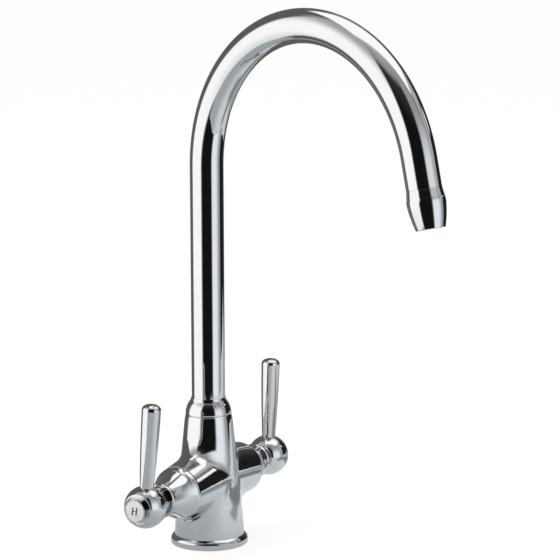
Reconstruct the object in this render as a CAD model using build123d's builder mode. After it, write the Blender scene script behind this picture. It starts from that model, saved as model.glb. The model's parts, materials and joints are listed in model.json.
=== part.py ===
from build123d import *
import os
from math import cos, hypot, radians, sin, sqrt

# Two handle kitchen faucet with a swivelling swan-neck spout.  Millimetres, +Z up.
# The origin is the centre of the base on the worktop.  The user stands towards -Y,
# the hot handle is towards -X and the cold handle towards +X.
# Both handles are shown shut, with their levers upright.

# ---------------------------------------------------------------- fits and clearances
RUNNING_GAP = 0.05          # radial clearance of a bearing surface or a spindle
SCREWED_GAP = 0.05          # radial clearance left between two screwed or pressed pieces
LOOSE_GAP = 0.4             # air between pieces that must not rub
SEAM_CHAMFER = 0.5          # bevel that draws the line of each visible joint

# ---------------------------------------------------------------- base and body casting
FOOT_RADIUS = 23.1          # body where it stands on the base ring
RING_SEAT = 2.2             # width of the shoulder that presses on the base ring
RING_LIP = 2.55             # how far the base ring stands out past the foot
RING_RIM_HEIGHT = 3.6       # straight side of the base ring
RING_SHOULDER_HEIGHT = 2.7  # rounded shoulder above the side
RING_BULGE = 0.3
GASKET_WIDTH = 2.0
GASKET_HEIGHT = 1.8
GASKET_INSET = 1.2          # base ring metal outside the gasket groove

WAIST_RADIUS = 21.6         # body just under the arms
WAIST_HEIGHT = 27.0
NECK_RADIUS = 16.0          # body where its rounded top begins
NECK_DROP = 5.1             # from the body's top down to the neck
BODY_TOP_RADIUS = 15.15
BODY_TOP_HEIGHT = 87.6

ARM_HEIGHT = 42.0           # axis of the two valves above the worktop
ARM_LENGTH = 39.5           # from the middle of the body to the end face of an arm
ARM_END_RADIUS = 17.4
ARM_ROOT_RISE = 24.5        # top of the arms above their axis, at the middle of the body
ARM_ROOT_DROP = 19.7        # bottom of the arms below their axis, at the middle of the body
ARM_SIDE_STEP = 0.8         # sides of the arms inside the column's side, at the middle of the body
ARM_BLEND_END = 3.4         # between the end face and the fillet that blends the arm in

# ---------------------------------------------------------------- waterways and fixing
INLET_SPACING = 20.0        # between the hot and the cold supply holes
INLET_FORWARD = 4.0         # supply holes in front of the middle
INLET_RADIUS = 4.46         # tapped hole for an M10x1 supply tail
INLET_DEPTH = 13.0
FEED_RADIUS = 4.0           # drilled way from the supply hole up to the valve seat
STUD_BACK = 11.0            # fixing stud hole behind the middle
STUD_RADIUS = 3.32          # tapped hole for an M8 fixing stud
STUD_DEPTH = 15.0
SEAT_BORE_RADIUS = 4.5
CHAMBER_RADIUS = 10.0       # valve chamber in the arm, tapped near its mouth
CHAMBER_DEPTH = 18.5
MIXING_RADIUS = 7.5
MIXING_RISE = 12.0          # floor of the mixing chamber above the valves' axis
PORT_RADIUS = 2.8           # slanted way from a valve chamber to the mixing chamber
PORT_START_DEPTH = 11.5     # where the port leaves the chamber, from the arm's end face
PORT_START_RISE = 8.0       # the same place above the valves' axis
PORT_END_RISE = 2.5         # where the port enters, above the mixing chamber's floor

# ---------------------------------------------------------------- swivel under the spout
SWIVEL_RADIUS = 13.0        # counterbore in the body's top, tapped for the collar
SWIVEL_DEPTH = 8.6
SOCKET_RADIUS = 9.0         # bore that the spigot turns in
SOCKET_DEPTH = 19.0         # below the swivel's floor
WASHER_THICKNESS = 1.2      # thrust washer and retaining ring
FLANGE_THICKNESS = 2.0      # spigot's flange between the two
SPIGOT_END_GAP = 1.5        # between the spigot's end and the socket's floor
SPIGOT_BORE = 6.0
SPIGOT_SLEEVE = 9.0         # spigot inside the tube
O_RING_WIDTH = 2.4
O_RING_DEPTH = 1.7
O_RING_SPACING = 7.0
O_RING_START = 4.0          # middle of the lower groove above the spigot's end
O_RING_COUNT = 2

COLLAR_SIDE = 1.2           # straight side of the collar above the joint
COLLAR_SHOULDER_HEIGHT = 7.6
COLLAR_SHOULDER_RADIUS = 12.2
COLLAR_BULGE = 0.6          # how far the shoulder's arc stands out of its chord
COLLAR_LIP_HEIGHT = 2.4
COLLAR_LIP_HOLLOW = 0.2
COLLAR_LIP_WALL = 0.3

# ---------------------------------------------------------------- spout
TUBE_RADIUS = 11.0
TUBE_WALL = 1.2
SPOUT_SWING = 16.7          # degrees that the spout stands towards the hot side
BEND_HEIGHT = 253.3         # where the riser turns into the bend
BEND_RADIUS = 96.1          # centre line of the bend
BEND_ANGLE = 166.5
SPOUT_DROP = 19.0           # straight tube between the bend and the nozzle

# ---------------------------------------------------------------- nozzle and aerator
NOZZLE_LENGTH = 24.35
NOZZLE_FLARE = 5.5          # length of the conical flare under the tube
NOZZLE_FLARE_RADIUS = 11.75
NOZZLE_BELLY = 8.2          # from the top of the nozzle to its widest place
NOZZLE_BELLY_RADIUS = 12.05
NOZZLE_BELLY_BULGE = 0.12
NOZZLE_TIP_RADIUS = 9.15
NOZZLE_TIP_BULGE = 0.45
NOZZLE_TIP_BEVEL = 0.35
NOZZLE_SEAM = 0.15          # bevel at the hairline joint with the tube
NOZZLE_BORE = 6.8
NOZZLE_SLEEVE = 7.0         # nozzle inside the tube
AERATOR_RADIUS = 8.0        # pocket that the aerator is screwed into
AERATOR_POCKET = 14.5
AERATOR_RECESS = 0.8        # how far the aerator sits inside the outlet's edge
AERATOR_WALL = 0.8
AERATOR_SEAL_WIDTH = 2.6
AERATOR_SEAL = 1.5
CORE_HEIGHT = 3.5           # perforated cup that breaks up the water
CORE_FLOOR = 1.2
CORE_WALL = 0.9
CORE_HOLES = 12
CORE_HOLE_RADIUS = 0.55
CORE_HOLE_INSET = 2.4       # hole circle inside the cup's outside
SCREEN_THICKNESS = 0.5
SCREEN_PITCH = 1.9
SCREEN_HOLE = 1.2
SCREEN_RIM = 1.2            # plain rim around the holes
SCREEN_ROWS = 9
GRID_BARS = 3               # bars each way across the outlet
GRID_PITCH = 3.4
GRID_BAR_WIDTH = 0.8
GRID_HEIGHT = 3.0

# ---------------------------------------------------------------- shrouds
BELL_LENGTH = 23.5          # from the arm's end face to the end of the bell
BELL_TURN_LENGTH = 4.7      # rounded shoulder next to the arm
BELL_TURN_RADIUS = 15.45
BELL_TURN_BULGE = 0.32
BELL_FLARE_RADIUS = 11.0    # thin end of the flare, behind the bead
BELL_FLARE_HOLLOW = 0.6
BEAD_WIDTH = 3.2
BEAD_BULGE = 0.5
BELL_WALL = 2.0
WEB_START = 8.0             # web that is screwed on the valve, from the arm's end face
WEB_THICKNESS = 3.0

# ---------------------------------------------------------------- valves
SEAL_THICKNESS = 2.0
SEAL_WIDTH = 2.6
DISC_THICKNESS = 3.0
DISC_RADIUS = 7.6
DISC_PORT_RADIUS = 4.1      # middle line of the ports
DISC_PORT_WIDTH = 3.0
DISC_PORT_ANGLE = 75.0
DISC_NOTCH_WIDTH = 5.2
DISC_BRIDGE = 5.2           # ceramic left between the two notches
DRIVER_RADIUS = 7.2
DRIVER_THICKNESS = 2.0
DOG_RADIUS = 1.2            # driving dogs of the spindle in the moving disc
DOG_CIRCLE = 5.0
DOG_DEPTH = 1.5
VALVE_WALL = 1.0
VALVE_THREAD = 6.5          # screwed length in the mouth of the chamber
WINDOW_WIDTH = 6.0
WINDOW_LENGTH = 3.4
GLAND_WASHER_RADIUS = 12.0
GLAND_WASHER_THICKNESS = 0.8
VALVE_HEX = 19.0            # across flats
VALVE_HEX_LENGTH = 5.0
VALVE_NECK_RADIUS = 7.0
VALVE_NECK_LENGTH = 6.5
SPINDLE_RADIUS = 4.0
SPINDLE_GROOVE_DEPTH = 0.9
SPINDLE_GROOVE_WIDTH = 1.3
SPINDLE_RING_SPACING = 4.0
SPINDLE_RING_START = 5.0    # first ring behind the driver
SPINDLE_RING_COUNT = 2
CIRCLIP_THICKNESS = 1.0
CIRCLIP_DEPTH = 0.6
CIRCLIP_RADIUS = 5.8
CIRCLIP_OPENING = 60.0      # degrees left open so that the clip can be pushed on
SPLINE_LENGTH = 7.0
SPLINE_TEETH = 16
SPLINE_DEPTH = 0.3
SPLINE_GROOVE = 0.7

# ---------------------------------------------------------------- handles
BALL_RADIUS = 13.83
BALL_FACE = 9.4             # from the ball's centre to its flat outer face
HANDLE_NECK_RADIUS = 9.0
NECK_SHOW = 2.3             # between the bell's end and the ball's nearest point
NECK_ENTRY = 1.5            # neck inside the bell's mouth
HUB_SOCKET = 6.0            # splined socket, from the end of the neck
HUB_END_GAP = 1.0           # between the spindle's end and the socket's floor
RECESS_RADIUS = 9.3         # shallow recess around the button in the ball's flat face
RECESS_DEPTH = 1.5
POCKET_RADIUS = 6.6         # pocket for the bezel's skirt in the recess's floor
POCKET_DEPTH = 4.2          # from the ball's flat face
SCREW_RADIUS = 2.0          # M4 handle screw
SCREW_HEAD_RADIUS = 3.5
SCREW_HEAD_HEIGHT = 4.0
SCREW_SEAT = 11.9           # from the ball's flat face to the seat of the screw's head
SCREW_KEY = 3.0             # hexagon socket, across flats
SCREW_KEY_DEPTH = 2.0
SCREW_ENGAGEMENT = 5.0      # screw thread inside the spindle
SCREW_RUN_OUT = 1.0         # tapped hole past the screw's end

LEVER_BASE_RADIUS = 4.45
LEVER_TOP_RADIUS = 6.22
LEVER_BULGE = 0.3           # how far the lever's side stands out of its cone
LEVER_TOP = 68.1            # top of the lever above the handle's axis
LEVER_DOME = 3.8
LEVER_SEAT = 12.6           # floor of the recess in the ball that the lever stands in
LEVER_STUD_RADIUS = 3.0
LEVER_STUD_LENGTH = 6.2
LEVER_STUD_END_GAP = 0.4
LEVER_LEAN = {"hot": 4.8, "cold": 2.0}  # degrees towards the user when shut

BEZEL_RADIUS = 7.4
BEZEL_HEIGHT = 3.3          # bezel above the ball's flat face
BEZEL_LIP = 0.6             # metal around the button
BEZEL_SKIRT_WALL = 1.2
BUTTON_SEAT = 0.4           # bezel's floor above the ball's flat face
BUTTON_EDGE = 0.1           # edge of the button above the bezel
BUTTON_CROWN = 0.3          # how much the middle of the button is domed
SIDES = {"hot": -1, "cold": 1}

os.makedirs("parts", exist_ok=True)


def bulging(start, end, bulge):
    """Middle point of an arc from start to end that stands out of its chord by bulge,
    on the left of the way from start to end."""
    run = (end[0] - start[0], end[1] - start[1])
    length = hypot(*run)
    return (
        (start[0] + end[0]) / 2 - run[1] / length * bulge,
        (start[1] + end[1]) / 2 + run[0] / length * bulge,
    )


def ring_section(low, high, radius_in, radius_out, mode=Mode.ADD):
    """Rectangular section of a ring, along and away from the axis that it is turned on."""
    with Locations(((low + high) / 2, (radius_in + radius_out) / 2)):
        Rectangle(high - low, radius_out - radius_in, mode=mode)


# ---------------------------------------------------------------- body and base
# Turned sections are drawn with the axis as their first direction and the radius as their
# second.  UPRIGHT draws them along the vertical axis, with the seam at the back.
UPRIGHT = Plane(origin=(0, 0, 0), x_dir=(0, 0, 1), z_dir=(-1, 0, 0))
ring_height = RING_RIM_HEIGHT + RING_SHOULDER_HEIGHT
ring_radius = FOOT_RADIUS + RING_LIP
ring_bore = FOOT_RADIUS - RING_SEAT
spigot_radius = ring_bore - SCREWED_GAP
chamber_floor = ARM_LENGTH - CHAMBER_DEPTH
mixing_floor = ARM_HEIGHT + MIXING_RISE
swivel_floor = BODY_TOP_HEIGHT - SWIVEL_DEPTH
socket_floor = swivel_floor - SOCKET_DEPTH
seat_bore_end = INLET_SPACING / 2 - FEED_RADIUS


def across_arms(distance, height):
    """Upright plane square to the arms, at a distance from the middle of the body."""
    return Plane(origin=(distance, 0, height), x_dir=(0, 0, -1), z_dir=(1, 0, 0))


with BuildPart() as body_casting:
    foot = (ring_height, FOOT_RADIUS)
    waist = (WAIST_HEIGHT, WAIST_RADIUS)
    neck = (BODY_TOP_HEIGHT - NECK_DROP, NECK_RADIUS)
    rim = (BODY_TOP_HEIGHT - SEAM_CHAMFER, BODY_TOP_RADIUS)
    with BuildSketch(UPRIGHT):
        with BuildLine():
            Polyline((0, 0), (0, spigot_radius), (ring_height, spigot_radius), foot)
            column = Line(waist, neck)
            TangentArc(waist, foot, tangent=-(column % 0))
            TangentArc(neck, rim, tangent=column % 1)
            top = (BODY_TOP_HEIGHT, BODY_TOP_RADIUS - SEAM_CHAMFER)
            Polyline(rim, top, (BODY_TOP_HEIGHT, 0), (0, 0))
        make_face()
    revolve(axis=Axis.Z)
    column_slope = (NECK_RADIUS - WAIST_RADIUS) / (neck[0] - WAIST_HEIGHT)
    column_radius = WAIST_RADIUS + column_slope * (ARM_HEIGHT - WAIST_HEIGHT)
    root_height = ARM_HEIGHT + (ARM_ROOT_RISE - ARM_ROOT_DROP) / 2
    with BuildSketch(across_arms(-ARM_LENGTH, ARM_HEIGHT)):
        Circle(ARM_END_RADIUS)
    with BuildSketch(across_arms(0, root_height)):
        Ellipse((ARM_ROOT_RISE + ARM_ROOT_DROP) / 2, column_radius - ARM_SIDE_STEP)
    with BuildSketch(across_arms(ARM_LENGTH, ARM_HEIGHT)):
        Circle(ARM_END_RADIUS)
    loft(ruled=True)
    arm_blend = ARM_LENGTH - column_radius - ARM_BLEND_END
    fillet(body_casting.edges(Select.NEW), radius=arm_blend)
    across = body_casting.edges().group_by(Axis.X)
    chamfer(across[0] + across[-1], length=SEAM_CHAMFER)

    # Socket, swivel counterbore and mixing chamber, from the top.
    with BuildSketch(Plane.XY.offset(mixing_floor)):
        Circle(MIXING_RADIUS)
    extrude(amount=BODY_TOP_HEIGHT - mixing_floor, mode=Mode.SUBTRACT)
    with BuildSketch(Plane.XY.offset(socket_floor)):
        Circle(SOCKET_RADIUS)
    extrude(amount=BODY_TOP_HEIGHT - socket_floor, mode=Mode.SUBTRACT)
    with BuildSketch(Plane.XY.offset(swivel_floor)):
        Circle(SWIVEL_RADIUS)
    extrude(amount=SWIVEL_DEPTH, mode=Mode.SUBTRACT)

    # Supply holes, feeds and stud hole, from below.
    with BuildSketch(Plane.XY):
        with Locations((0, -INLET_FORWARD)):
            with GridLocations(INLET_SPACING, 0, 2, 1):
                Circle(INLET_RADIUS)
    extrude(amount=INLET_DEPTH, mode=Mode.SUBTRACT)
    with BuildSketch(Plane.XY):
        with Locations((0, -INLET_FORWARD)):
            with GridLocations(INLET_SPACING, 0, 2, 1):
                Circle(FEED_RADIUS)
    extrude(amount=ARM_HEIGHT, mode=Mode.SUBTRACT)
    with BuildSketch(Plane.XY):
        with Locations((0, STUD_BACK)):
            Circle(STUD_RADIUS)
    extrude(amount=STUD_DEPTH, mode=Mode.SUBTRACT)

    # Valve chambers, their seats, and the ports to the mixing chamber.
    for sign in SIDES.values():
        with BuildSketch(Plane(origin=(sign * ARM_LENGTH, 0, ARM_HEIGHT), z_dir=(-sign, 0, 0))):
            Circle(CHAMBER_RADIUS)
        extrude(amount=CHAMBER_DEPTH, mode=Mode.SUBTRACT)
        with BuildSketch(Plane(origin=(sign * ARM_LENGTH, 0, ARM_HEIGHT), z_dir=(-sign, 0, 0))):
            Circle(SEAT_BORE_RADIUS)
        extrude(amount=ARM_LENGTH - seat_bore_end, mode=Mode.SUBTRACT)
        port_start = Vector(sign * (ARM_LENGTH - PORT_START_DEPTH), 0, ARM_HEIGHT + PORT_START_RISE)
        port_end = Vector(0, 0, mixing_floor + PORT_END_RISE)
        with BuildSketch(Plane(origin=port_start, z_dir=port_end - port_start)):
            Circle(PORT_RADIUS)
        extrude(amount=(port_end - port_start).length, mode=Mode.SUBTRACT)

body_casting.part.label = "body_casting"
export_step(body_casting.part, "parts/body_casting.step")

with BuildPart() as base_ring:
    shoulder = (RING_RIM_HEIGHT, ring_radius)
    ring_top = (ring_height, FOOT_RADIUS)
    with BuildSketch(UPRIGHT):
        with BuildLine():
            Polyline(
                (ring_height, ring_bore),
                (0, ring_bore),
                (0, ring_radius - SEAM_CHAMFER),
                (SEAM_CHAMFER, ring_radius),
                shoulder,
            )
            ThreePointArc(shoulder, bulging(shoulder, ring_top, RING_BULGE), ring_top)
            Line(ring_top, (ring_height, ring_bore))
        make_face()
        groove_radius = ring_radius - GASKET_INSET
        ring_section(0, GASKET_HEIGHT, groove_radius - GASKET_WIDTH, groove_radius, Mode.SUBTRACT)
    revolve(axis=Axis.Z)

base_ring.part.label = "base_ring"
export_step(base_ring.part, "parts/base_ring.step")

with BuildPart() as base_gasket:
    with BuildSketch(UPRIGHT):
        ring_section(
            0,
            GASKET_HEIGHT,
            groove_radius - GASKET_WIDTH + SCREWED_GAP,
            groove_radius - SCREWED_GAP,
        )
    revolve(axis=Axis.Z)

base_gasket.part.label = "base_gasket"
export_step(base_gasket.part, "parts/base_gasket.step")

# ---------------------------------------------------------------- swivel pieces
flange_bottom = swivel_floor + WASHER_THICKNESS
flange_top = flange_bottom + FLANGE_THICKNESS
collar_bottom = flange_top + WASHER_THICKNESS
washer_radius = SWIVEL_RADIUS - LOOSE_GAP
tube_bore = TUBE_RADIUS - TUBE_WALL
spigot_bottom = socket_floor + SPIGOT_END_GAP
journal_radius = SOCKET_RADIUS - RUNNING_GAP
o_ring_section = (O_RING_DEPTH - SCREWED_GAP) / 2
o_ring_heights = [spigot_bottom + O_RING_START + O_RING_SPACING * i for i in range(O_RING_COUNT)]

with BuildPart() as thrust_washer:
    with BuildSketch(UPRIGHT):
        ring_section(swivel_floor, flange_bottom, SOCKET_RADIUS + LOOSE_GAP, washer_radius)
    revolve(axis=Axis.Z)

thrust_washer.part.label = "thrust_washer"
export_step(thrust_washer.part, "parts/thrust_washer.step")

with BuildPart() as retaining_ring:
    with BuildSketch(UPRIGHT):
        ring_section(flange_top, collar_bottom, TUBE_RADIUS + LOOSE_GAP, washer_radius)
    revolve(axis=Axis.Z)

retaining_ring.part.label = "retaining_ring"
export_step(retaining_ring.part, "parts/retaining_ring.step")

with BuildPart() as spout_collar:
    bearing = TUBE_RADIUS + RUNNING_GAP
    thread = SWIVEL_RADIUS - SCREWED_GAP
    joint = (BODY_TOP_HEIGHT, BODY_TOP_RADIUS - SEAM_CHAMFER)
    side_low = (BODY_TOP_HEIGHT + SEAM_CHAMFER, BODY_TOP_RADIUS)
    side_high = (BODY_TOP_HEIGHT + COLLAR_SIDE, BODY_TOP_RADIUS)
    lip_low = (side_high[0] + COLLAR_SHOULDER_HEIGHT, COLLAR_SHOULDER_RADIUS)
    lip_high = (lip_low[0] + COLLAR_LIP_HEIGHT, bearing + COLLAR_LIP_WALL)
    with BuildSketch(UPRIGHT):
        with BuildLine():
            Polyline(
                (collar_bottom, bearing),
                (collar_bottom, thread),
                (BODY_TOP_HEIGHT, thread),
                joint,
                side_low,
                side_high,
            )
            ThreePointArc(side_high, bulging(side_high, lip_low, COLLAR_BULGE), lip_low)
            ThreePointArc(lip_low, bulging(lip_low, lip_high, -COLLAR_LIP_HOLLOW), lip_high)
            Polyline(lip_high, (lip_high[0], bearing), (collar_bottom, bearing))
        make_face()
    revolve(axis=Axis.Z)

spout_collar.part.label = "spout_collar"
export_step(spout_collar.part, "parts/spout_collar.step")

with BuildPart() as spout_spigot:
    with BuildSketch(UPRIGHT):
        ring_section(spigot_bottom, flange_bottom, SPIGOT_BORE, journal_radius)
        ring_section(flange_bottom, flange_top, SPIGOT_BORE, washer_radius)
        ring_section(flange_top, flange_top + SPIGOT_SLEEVE, SPIGOT_BORE, tube_bore - SCREWED_GAP)
        with Locations([(height, journal_radius) for height in o_ring_heights]):
            Rectangle(O_RING_WIDTH, 2 * O_RING_DEPTH, mode=Mode.SUBTRACT)
    revolve(axis=Axis.Z)

spout_spigot.part.label = "spout_spigot"
export_step(spout_spigot.part, "parts/spout_spigot.step")

with BuildPart() as spout_o_rings:
    with BuildSketch(UPRIGHT):
        with Locations([(height, journal_radius - o_ring_section) for height in o_ring_heights]):
            Circle(o_ring_section)
    revolve(axis=Axis.Z)

spout_o_rings.part.label = "spout_o_rings"
export_step(spout_o_rings.part, "parts/spout_o_rings.step")

# ---------------------------------------------------------------- spout tube
# The spout is drawn in its own upright plane, which the swing turns about the vertical
# axis: the first direction runs out from the body, the second runs up.
swing = radians(SPOUT_SWING)
SPOUT = Plane(origin=(0, 0, 0), x_dir=(-sin(swing), -cos(swing), 0), z_dir=(-cos(swing), sin(swing), 0))
bend_end = (
    BEND_RADIUS * (1 - cos(radians(BEND_ANGLE))),
    BEND_HEIGHT + BEND_RADIUS * sin(radians(BEND_ANGLE)),
)
flow_run = (sin(radians(BEND_ANGLE)), cos(radians(BEND_ANGLE)))

with BuildPart() as spout_tube:
    with BuildLine(SPOUT) as centre_line:
        Line((0, flange_top), (0, BEND_HEIGHT))
        CenterArc((BEND_RADIUS, BEND_HEIGHT), BEND_RADIUS, 180, -BEND_ANGLE)
        Line(bend_end, (bend_end[0] + flow_run[0] * SPOUT_DROP, bend_end[1] + flow_run[1] * SPOUT_DROP))
    with BuildSketch(Plane.XY.offset(flange_top)):
        Circle(TUBE_RADIUS)
        Circle(tube_bore, mode=Mode.SUBTRACT)
    sweep(path=centre_line.wire())

spout_tube.part.label = "spout_tube"
export_step(spout_tube.part, "parts/spout_tube.step")

# ---------------------------------------------------------------- nozzle and aerator
# Distances along the flow are measured from the end of the tube.
flow = SPOUT.from_local_coords(Vector(*flow_run, 0)) - SPOUT.origin
tube_end = SPOUT.from_local_coords(Vector(*bend_end, 0)) + flow * SPOUT_DROP
FLOW = Plane(origin=tube_end, x_dir=flow, z_dir=SPOUT.z_dir)
flow_axis = Axis(tube_end, flow)
pocket_floor = NOZZLE_LENGTH - AERATOR_POCKET
housing_start = pocket_floor + AERATOR_SEAL
housing_end = NOZZLE_LENGTH - AERATOR_RECESS
housing_radius = AERATOR_RADIUS - SCREWED_GAP
housing_bore = housing_radius - AERATOR_WALL
insert_radius = housing_bore - SCREWED_GAP
core_end = housing_end - GRID_HEIGHT
core_start = core_end - CORE_HEIGHT


def across_flow(distance):
    """Plane square to the flow, at a distance from the end of the tube."""
    return Plane(origin=tube_end + flow * distance, x_dir=SPOUT.z_dir, z_dir=flow)


with BuildPart() as nozzle:
    flare_start = (NOZZLE_SEAM, TUBE_RADIUS)
    flare_end = (NOZZLE_FLARE, NOZZLE_FLARE_RADIUS)
    belly = (NOZZLE_BELLY, NOZZLE_BELLY_RADIUS)
    tip = (NOZZLE_LENGTH - NOZZLE_TIP_BEVEL, NOZZLE_TIP_RADIUS)
    with BuildSketch(FLOW):
        with BuildLine():
            Polyline(
                (NOZZLE_LENGTH, 0),
                (0, 0),
                (0, TUBE_RADIUS - NOZZLE_SEAM),
                flare_start,
                flare_end,
            )
            ThreePointArc(flare_end, bulging(flare_end, belly, NOZZLE_BELLY_BULGE), belly)
            ThreePointArc(belly, bulging(belly, tip, NOZZLE_TIP_BULGE), tip)
            Polyline(tip, (NOZZLE_LENGTH, NOZZLE_TIP_RADIUS - NOZZLE_TIP_BEVEL), (NOZZLE_LENGTH, 0))
        make_face()
        ring_section(-NOZZLE_SLEEVE, 0, NOZZLE_BORE, tube_bore - SCREWED_GAP)
        ring_section(0, pocket_floor, 0, NOZZLE_BORE, Mode.SUBTRACT)
        ring_section(pocket_floor, NOZZLE_LENGTH, 0, AERATOR_RADIUS, Mode.SUBTRACT)
    revolve(axis=flow_axis)

nozzle.part.label = "nozzle"
export_step(nozzle.part, "parts/nozzle.step")

with BuildPart() as aerator_washer:
    with BuildSketch(FLOW):
        seal_bore = housing_radius - AERATOR_SEAL_WIDTH
        ring_section(pocket_floor, housing_start, seal_bore, housing_radius)
    revolve(axis=flow_axis)

aerator_washer.part.label = "aerator_washer"
export_step(aerator_washer.part, "parts/aerator_washer.step")

with BuildPart() as aerator_housing:
    with BuildSketch(across_flow(housing_start)):
        Circle(housing_radius)
        Circle(housing_bore, mode=Mode.SUBTRACT)
    extrude(amount=housing_end - housing_start)
    with BuildSketch(across_flow(core_end)):
        with GridLocations(GRID_PITCH, 0, GRID_BARS, 1):
            Rectangle(GRID_BAR_WIDTH, 2 * housing_radius)
        with GridLocations(0, GRID_PITCH, 1, GRID_BARS):
            Rectangle(2 * housing_radius, GRID_BAR_WIDTH)
        Circle(housing_radius, mode=Mode.INTERSECT)
    extrude(amount=GRID_HEIGHT)

aerator_housing.part.label = "aerator_housing"
export_step(aerator_housing.part, "parts/aerator_housing.step")

with BuildPart() as aerator_core:
    with BuildSketch(across_flow(core_start)):
        Circle(insert_radius)
    extrude(amount=CORE_HEIGHT)
    with BuildSketch(across_flow(core_start)):
        Circle(insert_radius - CORE_WALL)
    extrude(amount=CORE_HEIGHT - CORE_FLOOR, mode=Mode.SUBTRACT)
    with BuildSketch(across_flow(core_start)):
        with PolarLocations(insert_radius - CORE_HOLE_INSET, CORE_HOLES):
            Circle(CORE_HOLE_RADIUS)
    extrude(amount=CORE_HEIGHT, mode=Mode.SUBTRACT)

aerator_core.part.label = "aerator_core"
export_step(aerator_core.part, "parts/aerator_core.step")

with BuildPart() as aerator_screen:
    holes_end = insert_radius - SCREEN_RIM - SCREEN_HOLE / sqrt(2)
    grid = GridLocations(SCREEN_PITCH, SCREEN_PITCH, SCREEN_ROWS, SCREEN_ROWS)
    holes = [spot for spot in grid if spot.position.length < holes_end]
    with BuildSketch(across_flow(core_start - SCREEN_THICKNESS)):
        Circle(insert_radius)
        with Locations(holes):
            Rectangle(SCREEN_HOLE, SCREEN_HOLE, mode=Mode.SUBTRACT)
    extrude(amount=SCREEN_THICKNESS)

aerator_screen.part.label = "aerator_screen"
export_step(aerator_screen.part, "parts/aerator_screen.step")

# ---------------------------------------------------------------- valves and handles
# Distances along a valve are measured from the middle of the body outwards.
seal_end = chamber_floor + SEAL_THICKNESS
fixed_disc_end = seal_end + DISC_THICKNESS
moving_disc_end = fixed_disc_end + DISC_THICKNESS
driver_end = moving_disc_end + DRIVER_THICKNESS
hex_start = ARM_LENGTH + GLAND_WASHER_THICKNESS
hex_end = hex_start + VALVE_HEX_LENGTH
valve_end = hex_end + VALVE_NECK_LENGTH
spindle_bore = SPINDLE_RADIUS + RUNNING_GAP
disc_bore = DISC_RADIUS + LOOSE_GAP
bell_end = ARM_LENGTH + BELL_LENGTH
bead_start = bell_end - BEAD_WIDTH
web_start = ARM_LENGTH + WEB_START
web_end = web_start + WEB_THICKNESS
mouth_radius = HANDLE_NECK_RADIUS + LOOSE_GAP
ball_centre = bell_end + NECK_SHOW + BALL_RADIUS
ball_face = ball_centre + BALL_FACE
hub_start = bell_end - NECK_ENTRY
hub_socket_floor = hub_start + HUB_SOCKET
spindle_end = hub_socket_floor - HUB_END_GAP
recess_floor = ball_face - RECESS_DEPTH
button_pocket_floor = ball_face - POCKET_DEPTH
screw_seat = ball_face - SCREW_SEAT
screw_end = spindle_end - SCREW_ENGAGEMENT
bezel_floor = ball_face + BUTTON_SEAT
bezel_end = ball_face + BEZEL_HEIGHT
bezel_recess = BEZEL_RADIUS - BEZEL_LIP
spindle_ring_section = (SPINDLE_GROOVE_DEPTH - SCREWED_GAP) / 2
spindle_rings = [
    driver_end + SPINDLE_RING_START + SPINDLE_RING_SPACING * i for i in range(SPINDLE_RING_COUNT)
]

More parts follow.
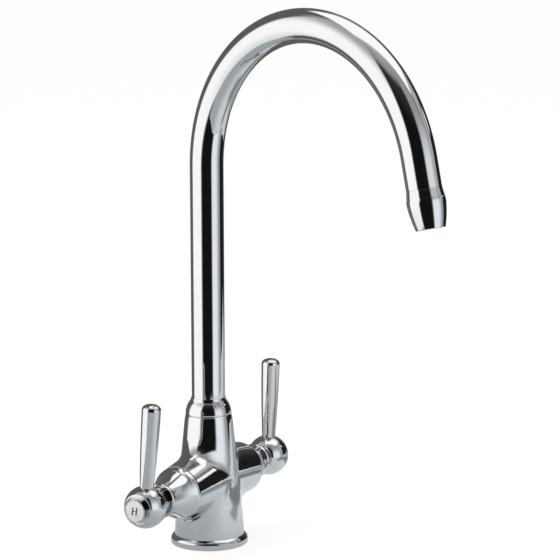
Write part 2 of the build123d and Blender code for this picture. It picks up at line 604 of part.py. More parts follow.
for side, sign in SIDES.items():
    VALVE = Plane(origin=(0, 0, ARM_HEIGHT), x_dir=(sign, 0, 0), z_dir=(0, -sign, 0))
    valve_axis = Axis((0, 0, ARM_HEIGHT), (sign, 0, 0))

    def across_valve(distance):
        """Plane square to the valve, at a distance from the middle of the body."""
        return Plane(origin=(sign * distance, 0, ARM_HEIGHT), x_dir=(0, 1, 0), z_dir=(sign, 0, 0))

    with BuildPart() as seat_seal:
        with BuildSketch(VALVE):
            ring_section(chamber_floor, seal_end, DISC_RADIUS - SEAL_WIDTH, DISC_RADIUS)
        revolve(axis=valve_axis)
    seat_seal.part.label = f"{side}_seat_seal"
    export_step(seat_seal.part, f"parts/{side}_seat_seal.step")

    with BuildPart() as fixed_disc:
        with BuildSketch(across_valve(seal_end)):
            Circle(DISC_RADIUS)
            for start in (-DISC_PORT_ANGLE / 2, 180 - DISC_PORT_ANGLE / 2):
                port_line = CenterArc((0, 0), DISC_PORT_RADIUS, start, DISC_PORT_ANGLE)
                SlotArc(port_line, DISC_PORT_WIDTH, mode=Mode.SUBTRACT)
        extrude(amount=DISC_THICKNESS)
    fixed_disc.part.label = f"{side}_fixed_disc"
    export_step(fixed_disc.part, f"parts/{side}_fixed_disc.step")

    with BuildPart() as moving_disc:
        with BuildSketch(across_valve(fixed_disc_end)):
            Circle(DISC_RADIUS)
            with GridLocations(0, DISC_BRIDGE + DISC_RADIUS, 1, 2):
                Rectangle(DISC_NOTCH_WIDTH, DISC_RADIUS, mode=Mode.SUBTRACT)
        extrude(amount=DISC_THICKNESS)
        with BuildSketch(across_valve(moving_disc_end)):
            with GridLocations(2 * DOG_CIRCLE, 0, 2, 1):
                Circle(DOG_RADIUS + SCREWED_GAP)
        extrude(amount=-DOG_DEPTH, mode=Mode.SUBTRACT)
    moving_disc.part.label = f"{side}_moving_disc"
    export_step(moving_disc.part, f"parts/{side}_moving_disc.step")

    with BuildPart() as valve_body:
        with BuildSketch(VALVE):
            ring_section(seal_end, driver_end, disc_bore, disc_bore + VALVE_WALL)
            thread_start = ARM_LENGTH - VALVE_THREAD
            ring_section(driver_end, thread_start, spindle_bore, disc_bore + VALVE_WALL)
            ring_section(thread_start, hex_start, spindle_bore, CHAMBER_RADIUS - SCREWED_GAP)
            ring_section(hex_start, valve_end, spindle_bore, VALVE_NECK_RADIUS)
        revolve(axis=valve_axis)
        with BuildSketch(across_valve(hex_start)):
            RegularPolygon(VALVE_HEX / 2, 6, major_radius=False)
            Circle(VALVE_NECK_RADIUS, mode=Mode.SUBTRACT)
        extrude(amount=VALVE_HEX_LENGTH)
        window = sign * (fixed_disc_end + moving_disc_end) / 2
        with BuildSketch(Plane.XY.offset(ARM_HEIGHT)):
            with Locations((window, 0)):
                Rectangle(WINDOW_LENGTH, WINDOW_WIDTH)
        extrude(amount=CHAMBER_RADIUS, both=True, mode=Mode.SUBTRACT)
    valve_body.part.label = f"{side}_valve_body"
    export_step(valve_body.part, f"parts/{side}_valve_body.step")

    with BuildPart() as gland_washer:
        with BuildSketch(VALVE):
            ring_section(ARM_LENGTH, hex_start, CHAMBER_RADIUS, GLAND_WASHER_RADIUS)
        revolve(axis=valve_axis)
    gland_washer.part.label = f"{side}_gland_washer"
    export_step(gland_washer.part, f"parts/{side}_gland_washer.step")

    with BuildPart() as shroud:
        bell_edge = (ARM_LENGTH + SEAM_CHAMFER, ARM_END_RADIUS)
        turn = (ARM_LENGTH + BELL_TURN_LENGTH, BELL_TURN_RADIUS)
        flare = (bead_start, BELL_FLARE_RADIUS)
        bead = (bell_end, BELL_FLARE_RADIUS)
        cavity_turn = BELL_TURN_RADIUS - BELL_WALL
        flare_slope = (BELL_TURN_RADIUS - BELL_FLARE_RADIUS) / (bead_start - turn[0])
        cavity_end = cavity_turn - flare_slope * (web_start - turn[0]) - BELL_FLARE_HOLLOW
        with BuildSketch(VALVE):
            with BuildLine():
                Polyline((ARM_LENGTH, 0), (ARM_LENGTH, ARM_END_RADIUS - SEAM_CHAMFER), bell_edge)
                ThreePointArc(bell_edge, bulging(bell_edge, turn, BELL_TURN_BULGE), turn)
                ThreePointArc(turn, bulging(turn, flare, -BELL_FLARE_HOLLOW), flare)
                ThreePointArc(flare, bulging(flare, bead, BEAD_BULGE), bead)
                Polyline(bead, (bell_end, 0), (ARM_LENGTH, 0))
            make_face()
            with BuildLine():
                Polyline(
                    (ARM_LENGTH, 0),
                    (ARM_LENGTH, ARM_END_RADIUS - BELL_WALL),
                    (turn[0], cavity_turn),
                    (web_start, cavity_end),
                    (web_start, 0),
                    close=True,
                )
            make_face(mode=Mode.SUBTRACT)
            ring_section(web_start, web_end, 0, VALVE_NECK_RADIUS + SCREWED_GAP, Mode.SUBTRACT)
            ring_section(web_end, bell_end, 0, mouth_radius, Mode.SUBTRACT)
        revolve(axis=valve_axis)
    shroud.part.label = f"{side}_shroud"
    export_step(shroud.part, f"parts/{side}_shroud.step")

    with BuildPart() as valve_spindle:
        with BuildSketch(VALVE):
            ring_section(moving_disc_end, driver_end, 0, DRIVER_RADIUS)
            ring_section(driver_end, spindle_end, 0, SPINDLE_RADIUS)
            with Locations([(spot, SPINDLE_RADIUS) for spot in spindle_rings]):
                Rectangle(SPINDLE_GROOVE_WIDTH, 2 * SPINDLE_GROOVE_DEPTH, mode=Mode.SUBTRACT)
            clip_floor = SPINDLE_RADIUS - CIRCLIP_DEPTH
            ring_section(
                valve_end, valve_end + CIRCLIP_THICKNESS, clip_floor, SPINDLE_RADIUS, Mode.SUBTRACT
            )
        revolve(axis=valve_axis)
        with BuildSketch(across_valve(moving_disc_end)):
            with GridLocations(2 * DOG_CIRCLE, 0, 2, 1):
                Circle(DOG_RADIUS)
        extrude(amount=-DOG_DEPTH)
        with BuildSketch(across_valve(spindle_end - SPLINE_LENGTH)):
            with PolarLocations(SPINDLE_RADIUS, SPLINE_TEETH):
                Rectangle(2 * SPLINE_DEPTH, SPLINE_GROOVE)
        extrude(amount=SPLINE_LENGTH, mode=Mode.SUBTRACT)
        with BuildSketch(across_valve(screw_end - SCREW_RUN_OUT)):
            Circle(SCREW_RADIUS + SCREWED_GAP)
        extrude(amount=SCREW_ENGAGEMENT + SCREW_RUN_OUT, mode=Mode.SUBTRACT)
    valve_spindle.part.label = f"{side}_valve_spindle"
    export_step(valve_spindle.part, f"parts/{side}_valve_spindle.step")

    with BuildPart() as spindle_o_rings:
        with BuildSketch(VALVE):
            with Locations([(spot, SPINDLE_RADIUS - spindle_ring_section) for spot in spindle_rings]):
                Circle(spindle_ring_section)
        revolve(axis=valve_axis)
    spindle_o_rings.part.label = f"{side}_spindle_o_rings"
    export_step(spindle_o_rings.part, f"parts/{side}_spindle_o_rings.step")

    with BuildPart() as circlip:
        with BuildSketch(across_valve(valve_end)):
            Circle(CIRCLIP_RADIUS)
            Circle(SPINDLE_RADIUS - CIRCLIP_DEPTH + SCREWED_GAP, mode=Mode.SUBTRACT)
            with BuildLine():
                reach = 2 * CIRCLIP_RADIUS
                half_opening = radians(CIRCLIP_OPENING / 2)
                mouth_low = (reach * cos(half_opening), -reach * sin(half_opening))
                mouth_high = (reach * cos(half_opening), reach * sin(half_opening))
                Polyline((0, 0), mouth_low, mouth_high, close=True)
            make_face(mode=Mode.SUBTRACT)
        extrude(amount=CIRCLIP_THICKNESS)
    circlip.part.label = f"{side}_circlip"
    export_step(circlip.part, f"parts/{side}_circlip.step")

    # The lever's own axis rises from the ball's centre and leans towards the user.
    lean = radians(LEVER_LEAN[side])
    lever_run = Vector(0, -sin(lean), cos(lean))
    ball = Vector(sign * ball_centre, 0, ARM_HEIGHT)
    LEVER = Plane(origin=ball, x_dir=lever_run, z_dir=(sign, 0, 0))
    lever_axis = Axis(ball, lever_run)

    with BuildPart() as handle_ball:
        neck_end = (ball_centre - sqrt(BALL_RADIUS**2 - HANDLE_NECK_RADIUS**2), HANDLE_NECK_RADIUS)
        crest = (ball_centre, BALL_RADIUS)
        face_radius = sqrt(BALL_RADIUS**2 - BALL_FACE**2)
        with BuildSketch(VALVE):
            with BuildLine():
                Polyline((ball_face, 0), (hub_start, 0), (hub_start, HANDLE_NECK_RADIUS), neck_end)
                ThreePointArc(neck_end, crest, (ball_face, face_radius))
                Line((ball_face, face_radius), (ball_face, 0))
            make_face()
            ring_section(hub_start, hub_socket_floor, 0, SPINDLE_RADIUS + SCREWED_GAP, Mode.SUBTRACT)
            ring_section(hub_socket_floor, screw_seat, 0, SCREW_RADIUS + LOOSE_GAP, Mode.SUBTRACT)
            head_hole = SCREW_HEAD_RADIUS + LOOSE_GAP
            ring_section(screw_seat, button_pocket_floor, 0, head_hole, Mode.SUBTRACT)
            ring_section(button_pocket_floor, recess_floor, 0, POCKET_RADIUS, Mode.SUBTRACT)
            ring_section(recess_floor, ball_face, 0, RECESS_RADIUS, Mode.SUBTRACT)
        revolve(axis=valve_axis)
        stud_hole_floor = LEVER_SEAT - LEVER_STUD_LENGTH - LEVER_STUD_END_GAP
        with BuildSketch(LEVER):
            ring_section(stud_hole_floor, LEVER_SEAT, 0, LEVER_STUD_RADIUS + SCREWED_GAP)
            ring_section(LEVER_SEAT, BALL_RADIUS, 0, LEVER_BASE_RADIUS + SCREWED_GAP)
        revolve(axis=lever_axis, mode=Mode.SUBTRACT)
    handle_ball.part.label = f"{side}_handle_ball"
    export_step(handle_ball.part, f"parts/{side}_handle_ball.step")

    with BuildPart() as lever:
        with BuildSketch(LEVER):
            with BuildLine():
                base = (LEVER_SEAT, LEVER_BASE_RADIUS)
                dome = (LEVER_TOP - LEVER_DOME, LEVER_TOP_RADIUS)
                Polyline((LEVER_TOP, 0), (LEVER_SEAT, 0), base)
                ThreePointArc(base, bulging(base, dome, LEVER_BULGE), dome)
                Spline(dome, (LEVER_TOP, 0), tangents=((1, 0), (0, -1)), tangent_scalars=(1.3, 1.0))
            make_face()
            ring_section(LEVER_SEAT - LEVER_STUD_LENGTH, LEVER_SEAT, 0, LEVER_STUD_RADIUS)
        revolve(axis=lever_axis)
    lever.part.label = f"{side}_lever"
    export_step(lever.part, f"parts/{side}_lever.step")

    with BuildPart() as handle_screw:
        with BuildSketch(across_valve(screw_end)):
            Circle(SCREW_RADIUS)
        extrude(amount=screw_seat - screw_end)
        with BuildSketch(across_valve(screw_seat)):
            Circle(SCREW_HEAD_RADIUS)
        extrude(amount=SCREW_HEAD_HEIGHT)
        with BuildSketch(across_valve(screw_seat + SCREW_HEAD_HEIGHT)):
            RegularPolygon(SCREW_KEY / 2, 6, major_radius=False)
        extrude(amount=-SCREW_KEY_DEPTH, mode=Mode.SUBTRACT)
    handle_screw.part.label = f"{side}_handle_screw"
    export_step(handle_screw.part, f"parts/{side}_handle_screw.step")

    with BuildPart() as button_bezel:
        skirt_radius = POCKET_RADIUS - SCREWED_GAP
        with BuildSketch(VALVE):
            skirt_bore = skirt_radius - BEZEL_SKIRT_WALL
            ring_section(button_pocket_floor, recess_floor, skirt_bore, skirt_radius)
            ring_section(recess_floor, bezel_floor, 0, BEZEL_RADIUS)
            ring_section(bezel_floor, bezel_end, bezel_recess, BEZEL_RADIUS)
        revolve(axis=valve_axis)
        outer_edges = button_bezel.edges().filter_by(GeomType.CIRCLE).group_by(Axis.X)[::sign][-1]
        fillet(outer_edges, radius=BEZEL_LIP / 3)
    button_bezel.part.label = f"{side}_button_bezel"
    export_step(button_bezel.part, f"parts/{side}_button_bezel.step")

    with BuildPart() as button:
        button_radius = bezel_recess - SCREWED_GAP
        button_edge = (bezel_end + BUTTON_EDGE, button_radius)
        crown = (bezel_end + BUTTON_EDGE + BUTTON_CROWN, 0)
        with BuildSketch(VALVE):
            with BuildLine():
                Polyline(crown, (bezel_floor, 0), (bezel_floor, button_radius), button_edge)
                dome_radius = (button_radius**2 + BUTTON_CROWN**2) / (2 * BUTTON_CROWN)
                RadiusArc(button_edge, crown, dome_radius)
            make_face()
        revolve(axis=valve_axis)
    button.part.label = f"{side}_button"
    export_step(button.part, f"parts/{side}_button.step")
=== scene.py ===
import json
from math import cos, pi, radians, sin, sqrt

import bpy
from mathutils import Matrix, Vector


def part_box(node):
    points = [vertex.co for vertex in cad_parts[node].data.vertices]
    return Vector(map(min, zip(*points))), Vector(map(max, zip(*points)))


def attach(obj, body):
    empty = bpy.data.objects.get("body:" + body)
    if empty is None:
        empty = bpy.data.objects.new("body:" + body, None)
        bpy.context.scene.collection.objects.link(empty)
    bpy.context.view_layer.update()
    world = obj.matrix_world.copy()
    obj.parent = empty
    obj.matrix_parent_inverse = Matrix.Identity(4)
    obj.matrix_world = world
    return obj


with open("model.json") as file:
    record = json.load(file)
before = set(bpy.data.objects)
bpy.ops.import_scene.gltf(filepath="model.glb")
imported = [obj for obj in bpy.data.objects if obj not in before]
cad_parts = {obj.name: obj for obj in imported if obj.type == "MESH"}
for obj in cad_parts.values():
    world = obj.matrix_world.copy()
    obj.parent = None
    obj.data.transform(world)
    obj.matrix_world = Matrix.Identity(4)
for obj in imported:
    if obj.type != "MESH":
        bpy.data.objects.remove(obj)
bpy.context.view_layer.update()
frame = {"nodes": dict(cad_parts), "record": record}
nodes = frame["nodes"]
MM = 0.001

# ------------------------------------------------------------------ camera
# The camera that the photograph was fitted with: it looks at the hot side from the left front.
VIEW_AZIMUTH = radians(-60.488)
VIEW_ELEVATION = radians(10.264)
VIEW_ROLL = radians(-0.164)
VIEW_DISTANCE = 1793.5 * MM
VIEW_TARGET = Vector((0, 0, 170 * MM))
VIEW_RIGHT = 47.51 * MM
VIEW_UP = 6.86 * MM
VIEW_LENS = 175.66
VIEW_SENSOR = 36
VIEW_NEAREST = 0.05
VIEW_FARTHEST = 20

back = Vector((
    sin(VIEW_AZIMUTH) * cos(VIEW_ELEVATION),
    -cos(VIEW_AZIMUTH) * cos(VIEW_ELEVATION),
    sin(VIEW_ELEVATION),
))
level_right = Vector((cos(VIEW_AZIMUTH), sin(VIEW_AZIMUTH), 0))
level_up = back.cross(level_right)
right = level_right * cos(VIEW_ROLL) + level_up * sin(VIEW_ROLL)
up = level_up * cos(VIEW_ROLL) - level_right * sin(VIEW_ROLL)
camera_data = bpy.data.cameras.new("camera")
camera_data.sensor_width = VIEW_SENSOR
camera_data.lens = VIEW_LENS
camera_data.clip_start = VIEW_NEAREST
camera_data.clip_end = VIEW_FARTHEST
camera = bpy.data.objects.new("camera", camera_data)
camera.matrix_world = Matrix.Translation(
    VIEW_TARGET + back * VIEW_DISTANCE + right * VIEW_RIGHT + up * VIEW_UP
) @ Matrix((right, up, back)).transposed().to_4x4()
bpy.context.scene.collection.objects.link(camera)
bpy.context.scene.camera = camera

# ------------------------------------------------------------------ material helpers
NOISE_RANGE = (0.35, 0.65)  # nearly all of a noise lies between these


class Nodes:
    """A material's node tree, with short calls to add nodes and link them."""

    def __init__(self, name):
        self.material = bpy.data.materials.new(name)
        self.material.use_nodes = True
        self.tree = self.material.node_tree
        self.tree.nodes.clear()
        self.output = self.tree.nodes.new("ShaderNodeOutputMaterial")

    def feed(self, socket, value):
        """A socket gets a value of its own, or a link where the value is itself a socket."""
        if isinstance(value, bpy.types.NodeSocket):
            self.tree.links.new(value, socket)
        else:
            socket.default_value = value

    def add(self, kind, **values):
        """New node, with each value on the node's own setting or socket of that name."""
        node = self.tree.nodes.new("ShaderNode" + kind)
        for key, value in values.items():
            if hasattr(node, key):
                setattr(node, key, value)
            else:
                self.feed(node.inputs[key.replace("_", " ")], value)
        return node

    def joined(self, kind, *values, **settings):
        """Output of a new node whose sockets take the values in their order."""
        node = self.add(kind, **settings)
        for socket, value in zip(node.inputs, values):
            self.feed(socket, value)
        return node.outputs[0]

    def math(self, operation, a, b):
        return self.joined("Math", a, b, operation=operation)

    def coords(self, stretch=(1, 1, 1)):
        """Places on the object in metres, so that a grain keeps its real size."""
        place = self.add("TexCoord").outputs["Object"]
        if stretch == (1, 1, 1):
            return place
        return self.add("Mapping", Vector=place, Scale=stretch).outputs[0]

    def noise(self, scale, detail=3.0, rough=0.5, stretch=(1, 1, 1)):
        place = self.coords(stretch)
        node = self.add("TexNoise", Vector=place, Scale=scale, Detail=detail, Roughness=rough)
        return node.outputs["Fac"]

    def ramp(self, fac, *stops):
        """Colour ramp through (place, colour) stops, where a colour may be one grey number."""
        node = self.add("ValToRGB", Fac=fac)
        elements = node.color_ramp.elements
        while len(elements) < len(stops):
            elements.new(0.5)
        for element, (place, colour) in zip(elements, stops):
            element.position = place
            element.color = (*colour, 1.0) if isinstance(colour, tuple) else (colour,) * 3 + (1.0,)
        return node.outputs["Color"]

    def melt(self, value, start, end, low=0.0, high=1.0, kind="SMOOTHSTEP"):
        """Number that goes from low at start to high at end, and stays level beyond them."""
        node = self.add(
            "MapRange", interpolation_type=kind, Value=value,
            From_Min=start, From_Max=end, To_Min=low, To_Max=high,
        )
        return node.outputs["Result"]

    def spread(self, noise, low, high):
        """Number that a noise spreads evenly between low and high."""
        return self.melt(noise, *NOISE_RANGE, low, high, "LINEAR")

    def mean(self, a, b):
        return self.math("MULTIPLY", self.math("ADD", a, b), 0.5)

    def made_of(self, shader):
        """The finished material, with this shader as its surface."""
        self.tree.links.new(shader, self.output.inputs[0])
        return self.material

    def surface(self, **values):
        return self.made_of(self.add("BsdfPrincipled", **values).outputs[0])


def grey(value, tint=(1.0, 1.0, 1.0)):
    return tuple(value * part for part in tint)


# ------------------------------------------------------------------ materials
CHROME = 0.62               # share of the light that the plating gives back
CHROME_CLOUDED = 0.965      # of that, where the plate is cloudy
CHROME_ROUGHNESS = 0.022    # where the plate is clean
WIPED_ROUGHNESS = 0.014     # what the wiping marks add to it


def plating(name, waviness, smear):
    """Polished chrome: faint cloudiness of the plate, wiping marks and the metal's slow waves."""
    n = Nodes(name)
    cloud = n.noise(55, 4, 0.55)
    wipe = n.noise(260, 3, 0.6, (1, 1, 0.12))
    clouded = grey(CHROME * CHROME_CLOUDED, (0.99, 1, 1.015))
    colour = n.ramp(cloud, (0.3, clouded), (0.7, grey(CHROME, (0.995, 1, 1.01))))
    rough = n.math(
        "ADD",
        n.spread(cloud, CHROME_ROUGHNESS, CHROME_ROUGHNESS + smear),
        n.spread(wipe, 0.0, WIPED_ROUGHNESS),
    )
    wave = n.add("Bump", Strength=1.0, Distance=waviness, Height=n.noise(38, 1.5, 0.35))
    fine = n.add(
        "Bump", Strength=0.35, Distance=0.004 * MM, Height=n.noise(1800, 2), Normal=wave.outputs[0]
    )
    return n.surface(Base_Color=colour, Metallic=1.0, Roughness=rough, Normal=fine.outputs[0])


def turned_metal(name, low, high, roughness, stretch, scale):
    """Machined or brushed metal with streaks along the tool's way."""
    n = Nodes(name)
    streak = n.noise(scale, 5, 0.65, stretch)
    colour = n.ramp(n.mean(streak, n.noise(120)), (0.38, low), (0.62, high))
    rough = n.spread(streak, roughness * 0.75, roughness * 1.3)
    bump = n.add("Bump", Strength=0.5, Distance=0.03 * MM, Height=streak)
    return n.surface(Base_Color=colour, Metallic=1.0, Roughness=rough, Normal=bump.outputs[0])


def moulded(name, low, high, roughness, scale, depth, coat=0.0):
    """Moulded, pressed or fired piece with a fine grain over faint clouds."""
    n = Nodes(name)
    grain = n.noise(scale, 5, 0.6)
    colour = n.ramp(n.mean(grain, n.noise(scale * 0.06, 2)), (0.4, low), (0.6, high))
    rough = n.spread(grain, roughness * 0.85, min(roughness * 1.12, 1.0))
    bump = n.add("Bump", Strength=0.6, Distance=depth, Height=grain)
    return n.surface(
        Base_Color=colour, Roughness=rough, Normal=bump.outputs[0],
        Coat_Weight=coat, Coat_Roughness=0.04,
    )


def flecked(name, ground, fleck, roughness):
    """Pressed fibre: pale fibres in a dull ground."""
    n = Nodes(name)
    fibre = n.noise(2600, 3, 0.7, (1, 0.25, 0.6))
    colour = n.ramp(fibre, (0.42, ground), (0.58, fleck), (0.66, ground))
    bump = n.add("Bump", Strength=0.8, Distance=0.06 * MM, Height=fibre)
    return n.surface(Base_Color=colour, Roughness=roughness, Normal=bump.outputs[0])


def glaze(name):
    """White porcelain: faint pooling of the glaze and a slight orange peel under a clear coat."""
    n = Nodes(name)
    pool = n.noise(140)
    colour = n.ramp(pool, (0.3, (0.73, 0.735, 0.73)), (0.7, (0.79, 0.792, 0.79)))
    peel = n.add("Bump", Strength=0.3, Distance=0.02 * MM, Height=n.noise(900, 1.5))
    return n.surface(
        Base_Color=colour, Roughness=n.spread(pool, 0.16, 0.24), Normal=peel.outputs[0],
        Coat_Weight=0.8, Coat_Roughness=0.03,
    )


def enamel(name):
    """Fired black line on the glaze, thinner in places."""
    n = Nodes(name)
    colour = n.ramp(n.noise(2400), (0.35, 0.012), (0.7, 0.05))
    return n.surface(Base_Color=colour, Roughness=n.spread(n.noise(900), 0.25, 0.4))


TUBE = plating("chrome_tube", waviness=0.012 * MM, smear=0.012)
CAST = plating("chrome_casting", waviness=0.05 * MM, smear=0.02)
SMALL = plating("chrome_small", waviness=0.02 * MM, smear=0.018)
ENAMEL = enamel("enamel")
MATERIALS = {
    "chrome": SMALL,
    "brass": turned_metal(
        "brass", (0.66, 0.48, 0.22), (0.82, 0.65, 0.36), roughness=0.28, stretch=(1, 0.1, 0.1), scale=900
    ),
    "steel": turned_metal(
        "steel", (0.47, 0.48, 0.49), (0.62, 0.63, 0.64), roughness=0.26, stretch=(0.1, 1, 1), scale=1400
    ),
    "rubber": moulded(
        "rubber", (0.018, 0.018, 0.019), (0.045, 0.045, 0.046), roughness=0.62, scale=1500, depth=0.05 * MM
    ),
    "nylon": moulded(
        "nylon", (0.72, 0.71, 0.66), (0.82, 0.81, 0.77), roughness=0.45, scale=1100, depth=0.03 * MM
    ),
    "acetal": moulded(
        "acetal", (0.55, 0.56, 0.57), (0.68, 0.69, 0.70), roughness=0.35, scale=1200, depth=0.02 * MM
    ),
    "fibre": flecked("fibre", ground=(0.30, 0.075, 0.05), fleck=(0.52, 0.20, 0.13), roughness=0.8),
    "ceramic": moulded(
        "ceramic", (0.76, 0.74, 0.69), (0.86, 0.84, 0.80), roughness=0.22, scale=2200, depth=0.01 * MM,
        coat=0.3,
    ),
    "porcelain": glaze("porcelain"),
}
NODE_MATERIALS = {"spout_tube": TUBE, "nozzle": TUBE, "body_casting": CAST, "base_ring": CAST}
for subpart in frame["record"]["subparts"]:
    name = subpart["node"]
    mesh = nodes[name].data
    mesh.materials.clear()
    mesh.materials.append(NODE_MATERIALS.get(name, MATERIALS[subpart["material_slot"]]))

# ------------------------------------------------------------------ marks on the buttons
MARK_HEIGHT = 4.6 * MM
MARK_STROKE = 0.95 * MM
MARK_SLANT = 0.16           # how far a letter leans for its height
MARK_RISE = 0.03 * MM       # enamel above the button's face, and as much below it
BUTTON_BEND = 76.1 * MM     # radius that the button's face is domed to
H_STEM = 1.45 * MM          # from the middle of the H to each of its stems
H_SERIF = 0.62 * MM
BAR_SHARE = 0.55            # strokes thinner than the stems, as shares of MARK_STROKE
SERIF_SHARE = 0.45
C_WIDTH = 1.85 * MM         # from the middle of the C to its back
C_START = 48                # degrees
C_SWEEP = 264
C_STEPS = 40


def mark(name, strokes, side, body):
    """Letter of (points, width) strokes, each a thin bar or arc that lies on the domed button.
    Points run across and up the face; width is a function of the way along the stroke, 0 to 1."""
    low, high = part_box(f"{side}_button")
    sign = -1 if side == "hot" else 1
    crown = low[0] if sign < 0 else high[0]
    middle = (Vector(low) + Vector(high)) / 2
    verts, faces = [], []
    for points, width in strokes:
        first = len(verts)
        for i, (u, v) in enumerate(points):
            before = points[max(i - 1, 0)]
            after = points[min(i + 1, len(points) - 1)]
            du, dv = after[0] - before[0], after[1] - before[1]
            reach = width(i / (len(points) - 1)) / 2 / sqrt(du * du + dv * dv)
            for edge, rise in ((-1, -1), (-1, 1), (1, 1), (1, -1)):
                y, z = u - dv * reach * edge, v + du * reach * edge
                y += MARK_SLANT * z
                drop = (y * y + z * z) / (2 * BUTTON_BEND) - MARK_RISE * rise
                verts.append((crown - sign * drop, middle.y + sign * y, middle.z + z))
            if i:
                last = first + 4 * (i - 1)
                for j in range(4):
                    k = (j + 1) % 4
                    faces.append((last + j, last + 4 + j, last + 4 + k, last + k))
        faces.append(tuple(first + j for j in range(4)))
        faces.append(tuple(len(verts) - 4 + j for j in (3, 2, 1, 0)))
    mesh = bpy.data.meshes.new(name)
    mesh.from_pydata(verts, [], faces)
    mesh.materials.append(ENAMEL)
    piece = bpy.data.objects.new(name, mesh)
    bpy.context.scene.collection.objects.link(piece)
    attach(piece, body)


def bar(start, end, share=1.0, steps=10):
    """Straight stroke of an even width."""
    points = [
        (start[0] + (end[0] - start[0]) * i / steps, start[1] + (end[1] - start[1]) * i / steps)
        for i in range(steps + 1)
    ]
    return points, lambda way: MARK_STROKE * share


half = MARK_HEIGHT / 2
hot_strokes = [bar((place, -half), (place, half)) for place in (-H_STEM, H_STEM)]
hot_strokes.append(bar((-H_STEM, 0), (H_STEM, 0), BAR_SHARE))
for place in (-H_STEM, H_STEM):
    for end in (-half, half):
        hot_strokes.append(bar((place - H_SERIF, end), (place + H_SERIF, end), SERIF_SHARE, 4))
mark("hot_mark", hot_strokes, "hot", "hot_handle")
turns = [radians(C_START + C_SWEEP * i / C_STEPS) for i in range(C_STEPS + 1)]
cold_arc = [(C_WIDTH * cos(turn), half * sin(turn)) for turn in turns]
cold_strokes = [(cold_arc, lambda way: MARK_STROKE * (0.5 + 0.6 * sin(pi * way)))]
mark("cold_mark", cold_strokes, "cold", "cold_handle")

# ------------------------------------------------------------------ floor and studio
# The studio is laid out from the object, to the right and towards the camera in the picture.
# The plating mirrors a table and, over it, cards that no other ray meets; a nearer card covers
# the ones behind it.
STUDIO_HEIGHT = 0.10        # middle of the curved cards
# Corners of the table.
TABLE = (
    (-0.21, 0.43), (0.16, 0.43), (0.33, 0.33), (0.44, 0.15), (0.475, -0.07), (0.585, -0.10),
    (0.60, -0.26), (0.72, -0.62), (0.30, -0.60), (0.14, -0.30), (0.02, -0.17), (-0.21, -0.12),
)
TABLE_REACH = 6.0           # how far the floor goes on around the table
# Painted light: mirror rays see the table glow, lighter towards one side, as if more light fell there.
PAINTED_LIGHT_WAY = radians(-25)      # way in which the table gets lighter, from the right in the picture
PAINTED_LIGHT_PLACES = (-0.12, 0.14)  # where along it that starts and ends
PAINTED_LIGHT_GLOW = (0.28, 0.66)
STRIP_WAY = radians(-52.8)  # across the dark strip on the table, from the right in the picture
# Painted shades in the table's glow: where each starts and ends across the strip, the same along it, and
# depth.
PAINTED_SHADES = (
    ((0.135, 0.175), (0.235, 0.285), (-0.12, -0.04), (0.30, 0.40), 0.95),
    ((0.05, 0.095), (0.14, 0.18), (0.065, 0.105), (0.17, 0.235), 0.74),
    ((0.25, 0.30), (1.20, 1.40), (-0.40, -0.30), (0.14, 0.20), 0.65),
)
SEEN_SHARE = 0.30           # of the lamps' light on the floor, as the camera and the plating see it
SEEN_GLOW = 0.77            # what makes the floor white to the camera
NEUTRAL = (1.0, 1.0, 1.0)
TABLE_TINT = (0.93, 0.985, 1.01)
DUSK = (1.02, 0.955, 0.99)
COOL = (0.94, 0.985, 1.03)
toward_camera = Vector((back.x, back.y, 0)).normalized()


def in_studio(right_way, near_way, height=0.0):
    return level_right * right_way + toward_camera * near_way + Vector((0, 0, height))


def on_dome(azimuth, elevation, distance, height=0.0):
    """Place on a dome; azimuths run from the camera to the right in the picture, in degrees."""
    a, e = radians(azimuth), radians(elevation)
    flat = distance * cos(e)
    return in_studio(flat * sin(a), flat * cos(a), height + distance * sin(e))


def stage_mesh(name, verts, faces, material, uvs=None):
    mesh = bpy.data.meshes.new(name)
    mesh.from_pydata(verts, [], faces)
    mesh.materials.append(material)
    for polygon in mesh.polygons:
        polygon.use_smooth = True
    if uvs:
        layer = mesh.uv_layers.new(name="uv")
        for loop in mesh.loops:
            layer.data[loop.index].uv = uvs[loop.vertex_index]
    piece = bpy.data.objects.new(name, mesh)
    bpy.context.scene.collection.objects.link(piece)
    return piece


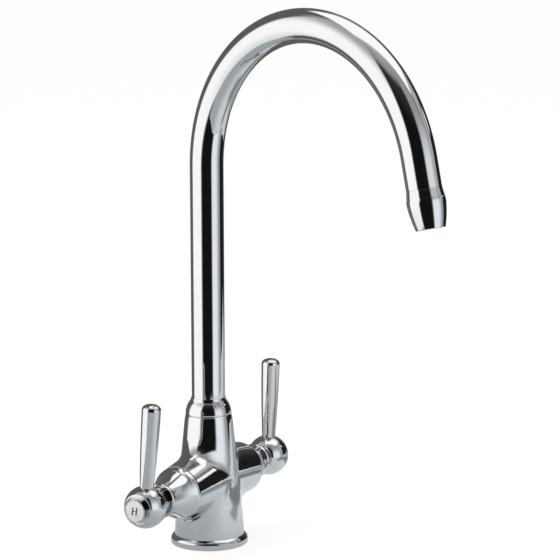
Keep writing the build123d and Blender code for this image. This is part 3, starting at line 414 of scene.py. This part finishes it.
def floor_material():
    """Pale floor that the camera sees as white, with the object's shadow left in it.  The plating
    mirrors it as a table with a painted glow: painted light makes it lighter towards its right
    side, and painted shade makes a dark strip on it."""
    n = Nodes("floor")
    ways = n.add("LightPath").outputs

    def along(way):
        """Distance from the object along a way over the table."""
        reach = n.add("VectorMath", operation="DOT_PRODUCT", Vector=n.coords())
        reach.inputs[1].default_value = in_studio(cos(way), sin(way))
        return reach.outputs["Value"]

    # Painted light: the table's glow for mirror rays, lighter towards its right side.
    painted_glow = n.melt(along(PAINTED_LIGHT_WAY), *PAINTED_LIGHT_PLACES, *PAINTED_LIGHT_GLOW)
    across_strip, along_strip = along(STRIP_WAY), along(STRIP_WAY + pi / 2)
    # Each painted shade dims the painted glow where its strip lies.
    for near, far, begin, end, depth in PAINTED_SHADES:
        shade = depth
        for place, span, ends in (
            (across_strip, near, (0, 1)),
            (across_strip, far, (1, 0)),
            (along_strip, begin, (0, 1)),
            (along_strip, end, (1, 0)),
        ):
            shade = n.math("MULTIPLY", n.melt(place, *span, *ends), shade)
        painted_glow = n.math("MULTIPLY", painted_glow, n.math("SUBTRACT", 1.0, shade))
    shader = n.add("BsdfDiffuse", Color=n.ramp(n.noise(9, 4), (0.3, 0.64), (0.7, 0.66))).outputs[0]
    # Mirror rays see the painted glow with its painted shades; the camera sees the floor as even white.
    for ray, glow, tint in (("Is Glossy Ray", painted_glow, TABLE_TINT), ("Is Camera Ray", SEEN_GLOW, NEUTRAL)):
        pale = n.add("BsdfDiffuse", Color=(*grey(SEEN_SHARE, tint), 1.0))
        light = n.add("Emission", Color=(*tint, 1.0), Strength=glow)
        seen = n.joined("AddShader", pale.outputs[0], light.outputs[0])
        shader = n.joined("MixShader", ways[ray], shader, seen)
    return n.made_of(shader)


FLOOR = floor_material()
table = [in_studio(*corner) for corner in TABLE]
corners = len(table)
around = [point * (TABLE_REACH / point.length) for point in table]
rims = [(i, (i + 1) % corners, (i + 1) % corners + corners, i + corners) for i in range(corners)]
stage_mesh("table", table, [tuple(range(corners))], FLOOR)
stage_mesh("floor_far", table + around, rims, FLOOR).visible_glossy = False

DOME_STEPS = (48, 24)
PANEL_STEPS = (2, 2)


def light_of(name, ends, tone, tint=NEUTRAL, soft=(0, 0, 0, 0), fades=()):
    """Light of a card whose edges (left, right, low, high) melt away over the widths in soft.
    Each of fades is (0 across or 1 up, from, to, share of tone that is left)."""
    n = Nodes(name)
    spot = n.add("SeparateXYZ", Vector=n.add("UVMap", uv_map="uv").outputs[0]).outputs
    mask = 1.0
    for i, width in enumerate(soft):
        if width:
            start, inward = ends[i // 2][i % 2], width * (1, -1)[i % 2]
            mask = n.math("MULTIPLY", mask, n.melt(spot[i // 2], start, start + inward))
    strength = tone
    for way, start, end, share in fades:
        strength = n.math("MULTIPLY", n.melt(spot[way], start, end, 1.0, share), strength)
    clear = n.add("BsdfTransparent")
    light = n.add("Emission", Color=(*tint, 1.0), Strength=strength)
    return n.made_of(n.joined("MixShader", mask, clear.outputs[0], light.outputs[0]))


def card(name, ends, steps, place, **looks):
    """Card over a grid of (across, up) between the ends, at the places that place gives."""
    verts, faces, uvs = [], [], []
    (a0, a1), (b0, b1) = ends
    a_steps, b_steps = steps
    for j in range(b_steps + 1):
        b = b0 + (b1 - b0) * j / b_steps
        for i in range(a_steps + 1):
            a = a0 + (a1 - a0) * i / a_steps
            verts.append(place(a, b))
            uvs.append((a, b))
            if i and j:
                here = j * (a_steps + 1) + i
                below = here - a_steps - 1
                faces.append((below - 1, below, here, here - 1))
    piece = stage_mesh(name, verts, faces, light_of(name, ends, **looks), uvs)
    for ray in ("camera", "diffuse", "transmission", "volume_scatter", "shadow"):
        setattr(piece, "visible_" + ray, False)


def dome(name, azimuths, elevations, radius, **looks):
    """Curved card around the object."""
    card(
        name, (azimuths, elevations), DOME_STEPS,
        lambda azimuth, elevation: on_dome(azimuth, elevation, radius, STUDIO_HEIGHT), **looks,
    )


def panel(name, rights, nears, height, **looks):
    """Level card above the object."""
    card(name, (rights, nears), PANEL_STEPS, lambda a, b: in_studio(a, b, height), **looks)


dome("room", (-180, 180), (-90, 90), radius=3.0, tone=0.155, tint=DUSK)
dome(
    "ceiling_front", (-130, 105), (44, 90), radius=2.6, tone=0.42,
    soft=(10, 16, 12, 0), fades=((1, 62, 84, 1.5),),
)
dome("haze_back", (104, 182), (33, 60), radius=2.4, tone=0.72, soft=(10, 12, 7, 4))
panel("softbox_top", (-0.21, 0.88), (-0.70, 0.21), height=1.0, tone=1.55, soft=(0.08, 0.1, 0.08, 0.1))
dome(
    "softbox_left", (-116, -34), (-50, 78), radius=1.6, tone=1.52,
    soft=(11, 9, 0, 16), fades=((1, 24, 62, 0.39), (1, -6, -46, 0.76)),
)
dome(
    "softbox_right", (30, 104), (-50, 62), radius=1.30, tone=1.29, tint=COOL,
    soft=(11, 11, 0, 12), fades=((0, 62, 92, 0.36), (1, 8, 46, 0.36)),
)
dome("haze_right", (80, 120), (9, 52), radius=1.28, tone=0.64, soft=(10, 8, 9, 8))
dome(
    "dark_right", (97, 178), (-50, 38), radius=1.27, tone=0.018,
    soft=(8, 12, 0, 12), fades=((0, 128, 172, 8.0),),
)
dome(
    "flag_front", (-35, 36), (-50, 64), radius=1.26, tone=0.010,
    soft=(7, 9, 0, 12), fades=((1, 30, 52, 4.0),),
)
dome("lamp_small", (107, 118), (19, 30), radius=1.25, tone=1.5, soft=(3, 3, 3, 3))

# ------------------------------------------------------------------ world and lamps
WORLD_LIGHT = (0.72, 0.73, 0.75, 1.0)   # what the world lights the object with
WORLD_SEEN = (1.0, 1.0, 1.0, 1.0)       # what the camera, mirrors and glass see of it

world = bpy.data.worlds.new("studio")
world.use_nodes = True
tree = world.node_tree
ways = tree.nodes.new("ShaderNodeLightPath").outputs
seen = ways["Is Camera Ray"]
for ray in ("Is Glossy Ray", "Is Transmission Ray"):
    either = tree.nodes.new("ShaderNodeMath")
    either.operation = "MAXIMUM"
    tree.links.new(seen, either.inputs[0])
    tree.links.new(ways[ray], either.inputs[1])
    seen = either.outputs[0]
choose = tree.nodes.new("ShaderNodeMix")
choose.data_type = "RGBA"
tree.links.new(seen, choose.inputs["Factor"])
choose.inputs["A"].default_value = WORLD_LIGHT
choose.inputs["B"].default_value = WORLD_SEEN
background = tree.nodes["Background"]
background.inputs["Strength"].default_value = 1.0
tree.links.new(choose.outputs["Result"], background.inputs["Color"])
bpy.context.scene.world = world


def lamp(name, azimuth, elevation, distance, size, power):
    """Round soft lamp that looks at the object and isn't mirrored in it."""
    data = bpy.data.lights.new(name, "AREA")
    data.shape = "DISK"
    data.size = size
    data.energy = power
    piece = bpy.data.objects.new(name, data)
    piece.location = on_dome(azimuth, elevation, distance)
    piece.rotation_euler = piece.location.to_track_quat("Z", "Y").to_euler()
    piece.visible_glossy = False
    bpy.context.scene.collection.objects.link(piece)


lamp("lamp_left", azimuth=-65, elevation=40, distance=1.6, size=0.9, power=7.0)
lamp("lamp_right", azimuth=60, elevation=50, distance=1.8, size=0.9, power=4.0)

settings = bpy.context.scene.view_settings
settings.view_transform = "Standard"
